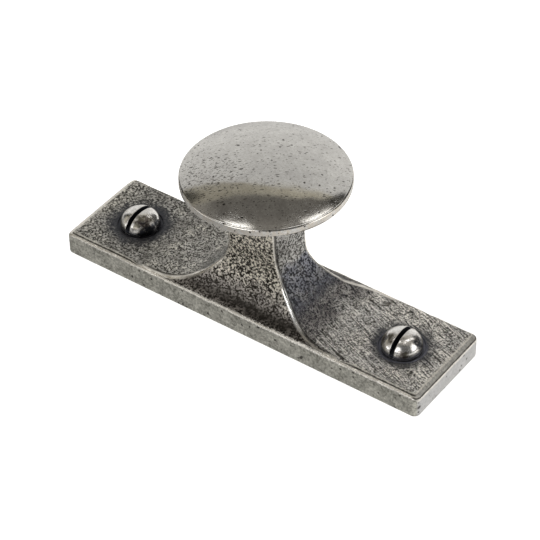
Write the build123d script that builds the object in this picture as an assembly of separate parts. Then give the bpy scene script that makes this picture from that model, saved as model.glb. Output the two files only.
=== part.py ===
from build123d import *
import os

# Cabinet knob: a domed round grip on a square concave neck that sweeps out into
# a rectangular backplate, all one casting, held by two slotted round-head wood
# screws. Millimetres. X runs along the plate, Z stands out from the cabinet,
# and the origin is at the centre of the plate's back face.

# ---------------------------------------------------------------- backplate
PLATE_L = 76.0          # length along X
PLATE_W = 19.8          # width along Y
PLATE_T = 4.4           # thickness at the flat top
PLAN_R = 1.2            # radius of the four upright corners
END_BEVEL_W = 1.15      # worn bevel across each short end, measured along X
END_BEVEL_D = 0.35      # and how far it falls
BACK_BREAK = 0.25       # broken edge around the back face

# ---------------------------------------------------------------- grip
GRIP_R = 15.0           # outer radius of the round grip
RIM_LOW = 27.62         # underside edge of the rim
RIM_HIGH = 29.0         # upper edge of the rim, where the dome starts
DOME_H = 3.1            # rise of the dome above the rim
RIM_ROUND = 0.32        # rounding of the rim's two edges
UNDER_R = 8.2           # where the shallow underside turns into the cove
UNDER_Z = 26.15         # height of the underside at that radius
COVE_R = 4.55           # the cove's lower end, inside the neck
COVE_Z = 22.4

# ---------------------------------------------------------------- neck sweeps
# Half section along the plate: the two end faces of the neck fall in a concave
# curve and run out flat on the plate's top. (x, z), from the plate to the grip.
END_SWEEP = [
    (23.0, PLATE_T),
    (19.8, 4.42),
    (16.9, 4.49),
    (14.4, 4.74),
    (12.3, 5.33),
    (10.5, 6.32),
    (8.95, 7.56),
    (7.65, 8.87),
    (5.97, 11.45),
    (5.22, 14.00),
    (4.98, 17.00),
    (4.85, 21.00),
    (4.84, 26.80),
]
# Half section across the plate: the front and back faces fall to the plate's
# long edges and end as a narrow worn bevel along them. (y, z), edge to grip.
SIDE_SWEEP = [
    (PLATE_W / 2, 4.10),
    (9.42, 4.37),
    (8.90, 4.60),
    (8.20, 4.96),
    (7.40, 5.60),
    (6.60, 6.52),
    (5.85, 7.64),
    (5.15, 8.95),
    (4.47, 11.45),
    (4.52, 14.00),
    (4.73, 17.00),
    (4.85, 21.00),
    (4.92, 26.80),
]
NECK_TOP = 26.8         # the neck ends inside the grip

# ---------------------------------------------------------------- fixing
FIX_X = 28.5            # screw centres at +-FIX_X, 57 apart
HOLE_R = 2.0            # clearance hole for the shank
SEAT_R = 4.15           # shallow round seat under each head
SEAT_D = 0.35

# ---------------------------------------------------------------- screws
HEAD_R = 3.7            # round head
HEAD_SIDE = 0.35        # short upright side standing in the seat
HEAD_H = 3.35           # full height above the seat
HEAD_SHOULDER = [       # the rounded part, as shares of its radius and height
    (0.969, 0.2927),
    (0.8774, 0.5325),
    (0.7297, 0.7297),
    (0.5325, 0.8774),
    (0.2927, 0.969),
]
SLOT_W = 0.85
SLOT_D = 2.5            # depth below the crown
SLOT_TURN_LEFT = 3.0    # how far each slot is turned from straight across
SLOT_TURN_RIGHT = -2.0
SHANK_R = 1.5           # plain shank under the head
THREAD_R = 1.75         # gauge 6 thread, measured over its crests
THREAD_START = -1.6     # where the thread reaches its full size
RUN_OUT = 0.45          # how far it takes to grow out of the shank
SCREW_L = 19.0          # length under the head
POINT_L = 3.6           # gimlet point

SEAT_Z = PLATE_T - SEAT_D


def mirrored(points):
    """The same points on the other side of the centre line, in reverse order."""
    return [(-a, b) for a, b in reversed(points)]


# One section looking along Y, carried right across the plate's width.
half_l = PLATE_L / 2
with BuildSketch(Plane.XZ) as end_section:
    with BuildLine():
        Line((-half_l, 0), (half_l, 0))
        Line((half_l, 0), (half_l, PLATE_T - END_BEVEL_D))
        Line((half_l, PLATE_T - END_BEVEL_D), (half_l - END_BEVEL_W, PLATE_T))
        Line((half_l - END_BEVEL_W, PLATE_T), END_SWEEP[0])
        Spline(END_SWEEP, tangents=[(-1, 0), (0, 1)])
        Line(END_SWEEP[-1], mirrored(END_SWEEP)[0])
        Spline(mirrored(END_SWEEP), tangents=[(0, -1), (-1, 0)])
        Line(mirrored(END_SWEEP)[-1], (-(half_l - END_BEVEL_W), PLATE_T))
        Line((-(half_l - END_BEVEL_W), PLATE_T), (-half_l, PLATE_T - END_BEVEL_D))
        Line((-half_l, PLATE_T - END_BEVEL_D), (-half_l, 0))
    make_face()
across = extrude(end_section.sketch, amount=PLATE_W, both=True)

# The other section looks along X and is carried along the plate's length.
half_w = PLATE_W / 2
with BuildSketch(Plane.YZ) as side_section:
    with BuildLine():
        Line((-half_w, 0), (half_w, 0))
        Line((half_w, 0), SIDE_SWEEP[0])
        Spline(SIDE_SWEEP, tangents=[(-0.8, 0.45), (0.01, 1)])
        Line(SIDE_SWEEP[-1], mirrored(SIDE_SWEEP)[0])
        Spline(mirrored(SIDE_SWEEP), tangents=[(0.01, -1), (-0.8, -0.45)])
        Line(mirrored(SIDE_SWEEP)[-1], (-half_w, 0))
    make_face()
along = extrude(side_section.sketch, amount=PLATE_L, both=True)

# Where the two sweeps meet they leave the neck's four curved arrises. The plan
# outline with its small upright corner radii trims both.
plan = extrude(RectangleRounded(PLATE_L, PLATE_W, PLAN_R), amount=NECK_TOP + 5)
body = across & along & plan

# The break around the back face.
back_edges = [e for e in body.edges() if abs(e.center().Z) < 1e-6]
body = chamfer(back_edges, BACK_BREAK)

# Round grip: dome, upright rim with rounded edges, shallow underside and a cove
# that carries it into the neck.
dome_top = RIM_HIGH + DOME_H
with BuildSketch(Plane.XZ) as grip_section:
    with BuildLine():
        Line((0, COVE_Z), (COVE_R, COVE_Z))
        ThreePointArc(
            (COVE_R, COVE_Z),
            (COVE_R + 0.95, COVE_Z + 2.45),
            (UNDER_R, UNDER_Z),
        )
        Line((UNDER_R, UNDER_Z), (GRIP_R - RIM_ROUND, RIM_LOW - 0.05))
        ThreePointArc(
            (GRIP_R - RIM_ROUND, RIM_LOW - 0.05),
            (GRIP_R - 0.09, RIM_LOW + 0.08),
            (GRIP_R, RIM_LOW + RIM_ROUND),
        )
        Line((GRIP_R, RIM_LOW + RIM_ROUND), (GRIP_R, RIM_HIGH - RIM_ROUND))
        ThreePointArc(
            (GRIP_R, RIM_HIGH - RIM_ROUND),
            (GRIP_R - 0.08, RIM_HIGH - 0.08),
            (GRIP_R - RIM_ROUND, RIM_HIGH + 0.09),
        )
        dome_r = GRIP_R - RIM_ROUND
        dome_z = RIM_HIGH + 0.09
        rise = dome_top - dome_z
        ball = (dome_r**2 + rise**2) / (2 * rise)
        mid_r = dome_r * 0.5
        ThreePointArc(
            (dome_r, dome_z),
            (mid_r, dome_top - ball + (ball**2 - mid_r**2) ** 0.5),
            (0, dome_top),
        )
        Line((0, dome_top), (0, COVE_Z))
    make_face()
grip = revolve(grip_section.sketch, Axis.Z, 360)
casting = body + grip

# Clearance holes and the shallow round seats for the two heads.
for x in (-FIX_X, FIX_X):
    casting -= Pos(x, 0, PLATE_T / 2) * Cylinder(HOLE_R, PLATE_T * 2)
    casting -= Pos(x, 0, SEAT_Z + 1.0) * Cylinder(SEAT_R, 2.0)


def round_head_screw(x, turn):
    """A slotted round-head wood screw at (x, 0), standing on its seat. The
    threaded length is the envelope over the thread's crests."""
    tip_z = SEAT_Z - SCREW_L
    side_z = SEAT_Z + HEAD_SIDE
    tall = HEAD_H - HEAD_SIDE
    shoulder = [(r * HEAD_R, side_z + z * tall) for r, z in HEAD_SHOULDER]
    with BuildSketch(Plane.XZ) as profile:
        with BuildLine():
            Line((0, tip_z), (THREAD_R, tip_z + POINT_L))
            Line((THREAD_R, tip_z + POINT_L), (THREAD_R, THREAD_START))
            Line((THREAD_R, THREAD_START), (SHANK_R, THREAD_START + RUN_OUT))
            Line((SHANK_R, THREAD_START + RUN_OUT), (SHANK_R, SEAT_Z))
            Line((SHANK_R, SEAT_Z), (HEAD_R, SEAT_Z))
            Line((HEAD_R, SEAT_Z), (HEAD_R, side_z))
            Spline(
                [(HEAD_R, side_z)] + shoulder + [(0, SEAT_Z + HEAD_H)],
                tangents=[(0, 1), (-1, 0)],
            )
            Line((0, SEAT_Z + HEAD_H), (0, tip_z))
        make_face()
    screw = revolve(profile.sketch, Axis.Z, 360)
    crown = SEAT_Z + HEAD_H
    cut = Pos(0, 0, crown - SLOT_D + 5) * Box(SLOT_W, HEAD_R * 3, 10)
    screw -= cut
    return Pos(x, 0, 0) * (Rot(0, 0, -turn) * screw)


parts = {
    "knob_casting": casting,
    "screw_left": round_head_screw(-FIX_X, SLOT_TURN_LEFT),
    "screw_right": round_head_screw(FIX_X, SLOT_TURN_RIGHT),
}

os.makedirs("parts", exist_ok=True)
for name, shape in parts.items():
    export_step(shape, f"parts/{name}.step")
    print(name, round(shape.volume, 1), shape.bounding_box())
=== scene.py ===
import math

import bpy
import numpy as np
from mathutils import Matrix, Vector
from mathutils.geometry import delaunay_2d_cdt


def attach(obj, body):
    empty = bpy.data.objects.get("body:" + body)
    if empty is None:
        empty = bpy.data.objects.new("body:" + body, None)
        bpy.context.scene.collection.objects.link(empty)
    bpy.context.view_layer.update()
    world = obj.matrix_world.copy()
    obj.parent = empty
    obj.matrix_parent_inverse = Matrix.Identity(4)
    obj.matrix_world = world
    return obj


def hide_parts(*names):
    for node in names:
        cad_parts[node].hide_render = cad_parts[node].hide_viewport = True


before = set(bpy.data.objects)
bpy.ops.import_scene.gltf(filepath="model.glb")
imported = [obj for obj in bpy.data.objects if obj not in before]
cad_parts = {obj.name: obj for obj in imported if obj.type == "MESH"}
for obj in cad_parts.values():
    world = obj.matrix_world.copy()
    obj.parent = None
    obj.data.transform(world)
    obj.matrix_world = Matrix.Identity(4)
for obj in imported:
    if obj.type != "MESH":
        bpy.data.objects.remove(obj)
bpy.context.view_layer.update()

# All lengths below are millimetres until a mesh is made.
HALF_L, HALF_W, TOP = 38.0, 9.9, 4.4
FIX_X, SEAT_Z = 28.5, 4.05
GRIP_R, RIM_LOW, RIM_HIGH, DOME_H, RIM_ROUND = 15.0, 27.62, 29.0, 3.1, 0.32
UNDER_R, UNDER_Z, COVE_R, COVE_Z = 8.2, 26.15, 4.55, 22.4
END_SWEEP = [
    (23.0, 4.4), (19.8, 4.42), (16.9, 4.49), (14.4, 4.74), (12.3, 5.33),
    (10.5, 6.32), (8.95, 7.56), (7.65, 8.87), (5.97, 11.45), (5.22, 14.0),
    (4.98, 17.0), (4.85, 21.0), (4.84, 26.8),
]
SIDE_SWEEP = [
    (9.9, 4.10), (9.42, 4.37), (8.90, 4.60), (8.20, 4.96), (7.40, 5.60),
    (6.60, 6.52), (5.85, 7.64), (5.15, 8.95), (4.47, 11.45), (4.52, 14.0),
    (4.73, 17.0), (4.85, 21.0), (4.92, 26.8),
]


# ------------------------------------------------------------------ helpers
def spline(points, t0, t1, samples=900):
    """A cubic spline through the points over chord length, with end tangents."""
    p = np.array(points, float)
    s = np.r_[0, np.cumsum(np.hypot(*np.diff(p, axis=0).T))]
    h = np.diff(s)
    n = len(p)
    a = np.zeros((n, n))
    rhs = np.zeros((n, 2))
    a[0, 0] = a[-1, -1] = 1
    rhs[0] = np.array(t0) / np.hypot(*t0)
    rhs[-1] = np.array(t1) / np.hypot(*t1)
    for i in range(1, n - 1):
        a[i, i - 1], a[i, i], a[i, i + 1] = h[i], 2 * (h[i - 1] + h[i]), h[i - 1]
        rhs[i] = 3 * (
            h[i] * (p[i] - p[i - 1]) / h[i - 1] + h[i - 1] * (p[i + 1] - p[i]) / h[i]
        )
    m = np.linalg.solve(a, rhs)
    u = np.linspace(0, s[-1], samples)
    k = np.clip(np.searchsorted(s, u) - 1, 0, n - 2)
    t = ((u - s[k]) / h[k])[:, None]
    hk = h[k][:, None]
    return (
        (2 * t**3 - 3 * t**2 + 1) * p[k]
        + (t**3 - 2 * t**2 + t) * hk * m[k]
        + (-2 * t**3 + 3 * t**2) * p[k + 1]
        + (t**3 - t**2) * hk * m[k + 1]
    )


def ease(x, a, b):
    """0 below a, 1 above b, smooth between them; a may be the larger one."""
    t = np.clip((np.asarray(x, float) - a) / (b - a), 0, 1)
    return t * t * (3 - 2 * t)


class Waves:
    """A smooth, repeatable 3-D noise of about the given wavelength."""

    def __init__(self, seed, length, count=22):
        r = np.random.default_rng(seed)
        d = r.normal(size=(count, 3))
        d /= np.linalg.norm(d, axis=1)[:, None]
        self.k = d * (2 * np.pi / (length * r.uniform(0.7, 1.5, count)))[:, None]
        self.f = r.uniform(0, 2 * np.pi, count)

    def __call__(self, p):
        return np.sin(p @ self.k.T + self.f).sum(1) / math.sqrt(len(self.f) / 2)


class Shell:
    """Vertices and faces gathered patch by patch."""

    def __init__(self):
        self.v, self.f, self.count = [], [], 0

    def add(self, pts):
        pts = np.asarray(pts, float).reshape(-1, 3)
        ids = np.arange(self.count, self.count + len(pts))
        self.v.append(pts)
        self.count += len(pts)
        return ids

    def band(self, a, b, closed=True):
        """Quads between two rows of vertices."""
        n = len(a)
        for i in range(n if closed else n - 1):
            j = (i + 1) % n
            q = (a[i], a[j], b[j], b[i])
            q = tuple(dict.fromkeys(int(x) for x in q))
            if len(q) > 2:
                self.f.append(q)

    def fan(self, row, tip):
        n = len(row)
        for i in range(n):
            self.f.append((int(row[i]), int(row[(i + 1) % n]), int(tip)))

    def points(self):
        return np.concatenate(self.v)


def make_object(name, points, faces, fields):
    """A mesh object in metres, with outward normals, smooth shading and the
    given per-vertex fields."""
    me = bpy.data.meshes.new(name)
    me.from_pydata((points / 1000.0).tolist(), [], [list(q) for q in faces])
    me.validate(clean_customdata=False)
    me.update()
    ob = bpy.data.objects.new(name, me)
    bpy.context.scene.collection.objects.link(ob)
    import bmesh

    bm = bmesh.new()
    bm.from_mesh(me)
    bmesh.ops.recalc_face_normals(bm, faces=bm.faces)
    bm.to_mesh(me)
    bm.free()
    me.polygons.foreach_set("use_smooth", np.ones(len(me.polygons), bool))
    for key, values in fields.items():
        at = me.attributes.new(key, "FLOAT", "POINT")
        at.data.foreach_set("value", np.asarray(values, np.float32))
    me.update()
    return ob


# ------------------------------------------------- the casting as one surface
end_c = spline(END_SWEEP, (-1, 0), (0, 1))
side_c = spline(SIDE_SWEEP, (-0.8, 0.45), (0.01, 1))
zs_end = np.maximum.accumulate(end_c[:, 1] + np.linspace(0, 1e-6, len(end_c)))
zs_side = np.maximum.accumulate(side_c[:, 1] + np.linspace(0, 1e-6, len(side_c)))

X_LAST = 21.0
# Levels follow the end sweep: even steps along it, closer where it turns.
arc = np.r_[0, np.cumsum(np.hypot(*np.diff(end_c, axis=0).T))]
s_last = np.interp(-X_LAST, -end_c[:, 0], arc)
s_top = np.interp(21.6, zs_end, arc)
steps = [s_last]
while steps[-1] < s_top:
    x_here = np.interp(steps[-1], arc, end_c[:, 0])
    z_here = np.interp(steps[-1], arc, end_c[:, 1])
    steps.append(steps[-1] + (0.55 if x_here > 15 else 0.26 if z_here < 13 else 0.34))
steps = np.array(steps[::-1])
lev_x = np.interp(steps, arc, end_c[:, 0])
lev_z = np.interp(steps, arc, end_c[:, 1])
lev_y = np.interp(lev_z, zs_side, side_c[:, 0])
Y_LAST = lev_y[-1]

N_LONG, N_END, N_ARC = 64, 46, 9


def columns(n, lean):
    t = np.linspace(-1, 1, n + 1)
    return t * (1 - lean) + lean * np.sin(np.pi * t / 2)


f_long, f_end = columns(N_LONG, 0.45), columns(N_END, 0.7)
ang = np.linspace(0, np.pi / 2, N_ARC + 1)[1:-1]

# The arris line and how wide its worn rounding is on each level.
tan = np.gradient(np.stack([lev_x, lev_y, lev_z], 1), axis=0)
tan /= np.linalg.norm(tan, axis=1)[:, None]
wear = 0.36 + 0.04 * ease(lev_z, 9, 5)
wear *= ease(lev_x, 21.2, 17.0)
arc_x = np.minimum(wear / np.sqrt(np.maximum(1 - tan[:, 0] ** 2, 0.02)), lev_x * 0.3)
arc_y = np.minimum(wear / np.sqrt(np.maximum(1 - tan[:, 1] ** 2, 0.02)), lev_y * 0.3)
more_left = 1.0 + 1.0 * ease(lev_z, 9.0, 5.0)
# The front face leans a little: lower at the left arris than at the right one.
lean = 0.28 * ease(lev_z, 9.0, 5.8) * ease(lev_x, 22.0, 16.0)


def ring(i):
    x, y, ax, ay = lev_x[i], lev_y[i], max(arc_x[i], 1e-4), max(arc_y[i], 1e-4)
    bx, by = ax * more_left[i], ay * more_left[i]
    right = np.stack([np.full(N_END + 1, x), f_end * (y - ay)], 1)
    back = np.stack([-f_long * (x - ax), np.full(N_LONG + 1, y)], 1)
    c1 = np.stack([x - ax + ax * np.cos(ang), y - ay + ay * np.sin(ang)], 1)
    c2 = c1[::-1] * [-1, 1]
    c3 = -np.stack([x - bx + bx * np.cos(ang), y - by + by * np.sin(ang)], 1)
    share = (np.linspace(0, 1, N_END + 1) ** 3)[:, None]
    left = right * [-1, -1] * (1 - share) + np.stack([np.full(N_END + 1, -x), -f_end * (y - by)], 1) * share
    share = (np.linspace(1, 0, N_LONG + 1) ** 3)[:, None]
    front_run = back * -1 * (1 - share) + np.stack([f_long * (x - bx), np.full(N_LONG + 1, -y)], 1) * share
    pts = np.concatenate([right, c1, back, c2, left, c3, front_run, c2 * -1])
    q = pts.copy()
    front = pts[:, 1] < 0
    q[front, 1] += (lean[i] * pts[front, 0] / x) * (-pts[front, 1] / y)
    return q


shell = Shell()
rings = []
for i in range(len(steps)):
    q = ring(i)
    rings.append(shell.add(np.c_[q, np.full(len(q), lev_z[i])]))
for a, b in zip(rings[:-1], rings[1:]):
    shell.band(a, b)
neck_count = shell.count
top_ring = ring(0)
n_ring = len(top_ring)

# Grip: cove, underside, rim and dome, on the same columns as the neck.
polar = np.arctan2(top_ring[:, 1], top_ring[:, 0])
r_neck = np.hypot(top_ring[:, 0], top_ring[:, 1])


def three_point(a, b, c, n):
    """n points on the arc through a, b and c, both ends included."""
    (x1, y1), (x2, y2), (x3, y3) = a, b, c
    d = 2 * (x1 * (y2 - y3) + x2 * (y3 - y1) + x3 * (y1 - y2))
    ux = ((x1**2 + y1**2) * (y2 - y3) + (x2**2 + y2**2) * (y3 - y1) + (x3**2 + y3**2) * (y1 - y2)) / d
    uy = ((x1**2 + y1**2) * (x3 - x2) + (x2**2 + y2**2) * (x1 - x3) + (x3**2 + y3**2) * (x2 - x1)) / d
    r = math.hypot(x1 - ux, y1 - uy)
    t1, t2, t3 = (math.atan2(p[1] - uy, p[0] - ux) for p in (a, b, c))
    while t2 - t1 > math.pi: t2 -= 2 * math.pi
    while t2 - t1 < -math.pi: t2 += 2 * math.pi
    while t3 - t2 > math.pi: t3 -= 2 * math.pi
    while t3 - t2 < -math.pi: t3 += 2 * math.pi
    t = np.linspace(t1, t3, n)
    return np.stack([ux + r * np.cos(t), uy + r * np.sin(t)], 1)


dome_top = RIM_HIGH + DOME_H
dome_r, dome_z = GRIP_R - RIM_ROUND, RIM_HIGH + 0.09
ball = (dome_r**2 + (dome_top - dome_z) ** 2) / (2 * (dome_top - dome_z))
prof = [(4.2, z) for z in np.linspace(21.85, COVE_Z - 0.3, 2)]
prof += [tuple(p) for p in three_point((COVE_R, COVE_Z), (COVE_R + 0.95, COVE_Z + 2.45), (UNDER_R, UNDER_Z), 16)]
prof += [tuple(p) for p in np.linspace((UNDER_R, UNDER_Z), (GRIP_R - RIM_ROUND, RIM_LOW - 0.05), 14)[1:]]
prof += [tuple(p) for p in three_point((GRIP_R - RIM_ROUND, RIM_LOW - 0.05), (GRIP_R - 0.09, RIM_LOW + 0.08), (GRIP_R, RIM_LOW + RIM_ROUND), 7)[1:]]
prof += [(GRIP_R, z) for z in np.linspace(RIM_LOW + RIM_ROUND, RIM_HIGH - RIM_ROUND, 6)[1:]]
prof += [tuple(p) for p in three_point((GRIP_R, RIM_HIGH - RIM_ROUND), (GRIP_R - 0.08, RIM_HIGH - 0.08), (dome_r, dome_z), 9)[1:]]
for r in np.linspace(dome_r, 0.25, 66)[1:]:
    prof.append((r, dome_top - ball + math.sqrt(ball**2 - r * r)))
grip_rows = []
for r, z in prof:
    blend = 0.55
    d = r - r_neck
    rr = np.where(d > blend, r, np.where(d < -blend, r_neck, (r + r_neck) / 2 + (d * d + blend * blend) / (4 * blend)))
    if r > 9.5 or z > RIM_LOW:
        rr = np.full(n_ring, r)
    grip_rows.append(shell.add(np.c_[rr * np.cos(polar), rr * np.sin(polar), np.full(n_ring, z)]))
shell.band(rings[0], grip_rows[0])
for a, b in zip(grip_rows[:-1], grip_rows[1:]):
    shell.band(a, b)
tip = shell.add([(0, 0, dome_top)])[0]
shell.fan(grip_rows[-1], tip)
grip_count = shell.count

# Plate edge rows: (inset, height) across the long sides, then across the ends.
SIDE_ROWS = [
    (1.20, 4.400), (1.10, 4.402), (1.01, 4.408), (0.93, 4.398), (0.85, 4.365),
    (0.78, 4.325), (0.71, 4.305), (0.64, 4.308), (0.57, 4.322), (0.48, 4.318),
    (0.38, 4.292), (0.28, 4.245), (0.19, 4.175), (0.11, 4.085), (0.05, 3.975),
    (0.015, 3.86), (0.0, 3.72),
]
MIDDLE_ROWS = [
    (0.55, 4.400), (0.53, 4.395), (0.51, 4.388), (0.49, 4.380), (0.47, 4.371),
    (0.45, 4.361), (0.43, 4.351), (0.41, 4.341), (0.39, 4.331), (0.36, 4.315),
    (0.31, 4.285), (0.25, 4.235), (0.18, 4.165), (0.11, 4.080), (0.05, 3.975),
    (0.015, 3.86), (0.0, 3.72),
]
END_ROWS = [
    (1.30, 4.400), (1.16, 4.402), (1.05, 4.405), (0.96, 4.385), (0.86, 4.335),
    (0.74, 4.285), (0.62, 4.235), (0.50, 4.185), (0.39, 4.135), (0.29, 4.085),
    (0.21, 4.030), (0.155, 3.975), (0.115, 3.940), (0.08, 3.925), (0.045, 3.88),
    (0.015, 3.80), (0.0, 3.68),
]
LOWER = [(0.0, z) for z in (3.3, 2.8, 2.2, 1.6, 1.0, 0.6, 0.34)]
LOWER += [(0.03, 0.18), (0.09, 0.08), (0.17, 0.02), (0.27, 0.0)]
SIDE_ROWS += LOWER
MIDDLE_ROWS += LOWER
END_ROWS += LOWER
N_RUN, N_CORNER, N_ENDSIDE = 30, 9, 34


BACK_ROWS = [(t, z) for t, z in MIDDLE_ROWS]
LEFT_ROWS = [
    (1.30, 4.400), (1.18, 4.392), (1.07, 4.375), (0.96, 4.350), (0.86, 4.322),
    (0.76, 4.292), (0.66, 4.260), (0.56, 4.225), (0.47, 4.190), (0.38, 4.150),
    (0.30, 4.105), (0.225, 4.055), (0.155, 3.995), (0.095, 3.925), (0.045, 3.84),
    (0.012, 3.75), (0.0, 3.64),
] + LOWER


def corner_r(k):
    return max(0.38, 1.2 - 0.66 * (SIDE_ROWS[k][0] + END_ROWS[k][0]) / 2)


def outline(k, left):
    """Row k's points round one end of the plate, from the ring's front corner
    over the short end to its back corner. The left end comes mirrored."""
    my, mz = MIDDLE_ROWS[k]
    tx, zx = (LEFT_ROWS if left else END_ROWS)[k]
    r = corner_r(k)
    a = HALF_L - tx

    def long_run(rows_):
        ty, zy = rows_[k]
        b = HALF_W - ty
        run, arc_pts = [], []
        for g in np.linspace(0, 1, N_RUN + 1)[:-1]:
            x = X_LAST + g * (a - r - X_LAST)
            m = float(ease(x, 24.6, X_LAST + 0.2))
            y = HALF_W - (ty + (my - ty) * m)
            if k == 0 and g == 0:
                y = Y_LAST
            run.append((x, -y, zy + (mz - zy) * m))
        for q in np.linspace(0, 1, N_CORNER + 1):
            t = -np.pi / 2 + q * np.pi / 2
            arc_pts.append((a - r + r * math.cos(t), -(b - r) + r * math.sin(t), zy + (zx - zy) * float(ease(q, 0, 1))))
        return run + arc_pts, b

    front, bf = long_run(SIDE_ROWS)
    back, bb = long_run(BACK_ROWS)
    end = [(a, -(bf - r) + h * (bf + bb - 2 * r), zx) for h in np.linspace(0, 1, N_ENDSIDE + 1)[1:-1]]
    return np.array(front + end + [(x, -y, z) for x, y, z in reversed(back)])


def middle(k, sign):
    """Row k along the ring's front (sign -1) or back run, left out of outline()."""
    my, mz = MIDDLE_ROWS[k]
    xs = f_long[1:-1] * X_LAST
    y = HALF_W - my
    pts = np.stack([xs, np.full(len(xs), sign * y), np.full(len(xs), mz)], 1)
    return pts if sign < 0 else pts[::-1]


ne, nl, na = N_END + 1, N_LONG + 1, N_ARC - 1
last = rings[-1]
o = 0
seg_right = last[o:o + ne]; o += ne
arc_a = last[o:o + na]; o += na
seg_back = last[o:o + nl]; o += nl
arc_b = last[o:o + na]; o += na
seg_left = last[o:o + ne]; o += ne
arc_c = last[o:o + na]; o += na
seg_front = last[o:o + nl]; o += nl
arc_d = last[o:o + na]

rows = []
for k in range(len(SIDE_ROWS)):
    right_pts = outline(k, False)
    left_pts = outline(k, True)[::-1] * [-1, 1, 1]
    if k == 0:
        # The first and last points of each outline are the ring's corners.
        r_ids = np.r_[seg_right[0], shell.add(right_pts[1:-1]), seg_right[-1]]
        l_ids = np.r_[seg_left[0], shell.add(left_pts[1:-1]), seg_left[-1]]
        row = np.r_[r_ids, seg_back[1:-1], l_ids, seg_front[1:-1]]
        right_loop, left_loop = r_ids, l_ids
    else:
        r_ids = shell.add(right_pts)
        b_ids = shell.add(middle(k, 1))
        l_ids = shell.add(left_pts)
        f_ids = shell.add(middle(k, -1))
        row = np.r_[r_ids, b_ids, l_ids, f_ids]
    rows.append(row)
for a, b in zip(rows[:-1], rows[1:]):
    shell.band(a, b)
edge_count = shell.count

# Plate ends: rows run in from the outline to the round seat and its hole.
SEAT_ROWS = [
    (4.45, 4.402), (4.34, 4.404), (4.27, 4.395), (4.21, 4.36), (4.17, 4.30),
    (4.15, 4.22), (4.145, 4.14), (4.12, 4.08), (4.05, 4.05), (3.5, 4.05),
    (2.8, 4.05), (2.2, 4.05), (2.08, 4.035), (2.02, 3.98), (2.0, 3.86),
    (2.0, 2.6), (2.0, 1.3), (2.0, 0.3), (2.03, 0.1), (2.12, 0.0),
]
N_IN = 38
hole_loops = []
for sign, outer, inner in ((1, right_loop, seg_right), (-1, left_loop, seg_left)):
    loop = np.r_[outer, inner[1:-1][::-1]]
    pts = shell.points()[loop]
    cx = sign * FIX_X
    th = np.arctan2(pts[:, 1], pts[:, 0] - cx)
    prev = loop
    start = np.stack([pts[:, 0], pts[:, 1]], 1)
    goal = np.stack([cx + 4.6 * np.cos(th), 4.6 * np.sin(th)], 1)
    for t in np.linspace(0, 1, N_IN + 1)[1:]:
        xy = start + (goal - start) * t
        z = np.interp(-np.abs(xy[:, 0]), -end_c[:, 0], zs_end)
        z = np.where(np.abs(xy[:, 0]) > 23, TOP, z)
        ids = shell.add(np.c_[xy, z])
        shell.band(prev, ids)
        prev = ids
    for r, z in SEAT_ROWS:
        ids = shell.add(np.c_[cx + r * np.cos(th), r * np.sin(th), np.full(len(th), z)])
        shell.band(prev, ids)
        prev = ids
    hole_loops.append(prev)

# Flat back with its two holes.
all_pts = shell.points()
loops = [rows[-1]] + hole_loops
flat_ids = np.concatenate(loops)
extra = [(x, y) for x in np.arange(-36, 36.1, 2.4) for y in np.arange(-7.8, 7.9, 2.6)
         if min(math.hypot(x - FIX_X, y), math.hypot(x + FIX_X, y)) > 3.0]
coords = [Vector(all_pts[i][:2]) for i in flat_ids] + [Vector(e) for e in extra]
edges, base = [], 0
for lp in loops:
    edges += [(base + i, base + (i + 1) % len(lp)) for i in range(len(lp))]
    base += len(lp)
vs, _, tris, orig, _, _ = delaunay_2d_cdt(coords, edges, [], 0, 1e-7)
new_ids = shell.add([(v.x, v.y, 0.0) for v in vs])
take = {}
for i, src in enumerate(orig):
    hit = [s for s in src if s < len(flat_ids)]
    take[i] = int(flat_ids[hit[0]]) if hit else int(new_ids[i])
outer_xy = np.array([all_pts[i][:2] for i in rows[-1]])


def inside_outline(c):
    return abs(c[0]) < HALF_L - 0.27 and abs(c[1]) < HALF_W - 0.27


on_hole = {i: any(len(rows[-1]) <= s < len(flat_ids) for s in src) for i, src in enumerate(orig)}
for t in tris:
    c = sum((vs[i] for i in t), Vector((0, 0))) / 3
    near_hole = min(math.hypot(c.x - FIX_X, c.y), math.hypot(c.x + FIX_X, c.y)) < 2.13
    if (near_hole and all(on_hole[i] for i in t)) or not inside_outline(c):
        continue
    ids = [take[i] for i in t]
    if len(set(ids)) == 3:
        shell.f.append(tuple(ids))

points = shell.points()
faces = shell.f
used = np.zeros(len(points), bool)
for q in faces:
    used[list(q)] = True
remap = np.cumsum(used) - 1
part_of = np.zeros(len(points), int)            # 0 neck, 1 grip, 2 edge, 3 plate ends
part_of[neck_count:grip_count] = 1
part_of[grip_count:edge_count] = 2
part_of[edge_count:] = 3
row_of = np.full(len(points), -1)
for k, row in enumerate(rows):
    row_of[row] = k
points, part_of, row_of = points[used], part_of[used], row_of[used]
faces = [tuple(int(remap[i]) for i in q) for q in faces]

# ------------------------------------------------ hand-finished irregularity
ax_, ay_, az_ = np.abs(points[:, 0]), np.abs(points[:, 1]), points[:, 2]
arris_line = np.stack([lev_x, lev_y, lev_z], 1)
tops = np.stack([np.full(12, lev_x[0]), np.full(12, lev_y[0]), np.linspace(22.0, 25.0, 12)], 1)
arris_line = np.concatenate([tops, arris_line])
d_arris = np.full(len(points), 99.0)
near_neck = np.where((part_of <= 1) & (az_ < 26.5) | (ax_ < 22.5) & (part_of == 2))[0]
folded = np.stack([ax_, ay_, az_], 1)
for part in np.array_split(near_neck, 60):
    diff = folded[part][:, None, :] - arris_line[None, :, :]
    d_arris[part] = np.sqrt((diff**2).sum(2)).min(1)

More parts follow.
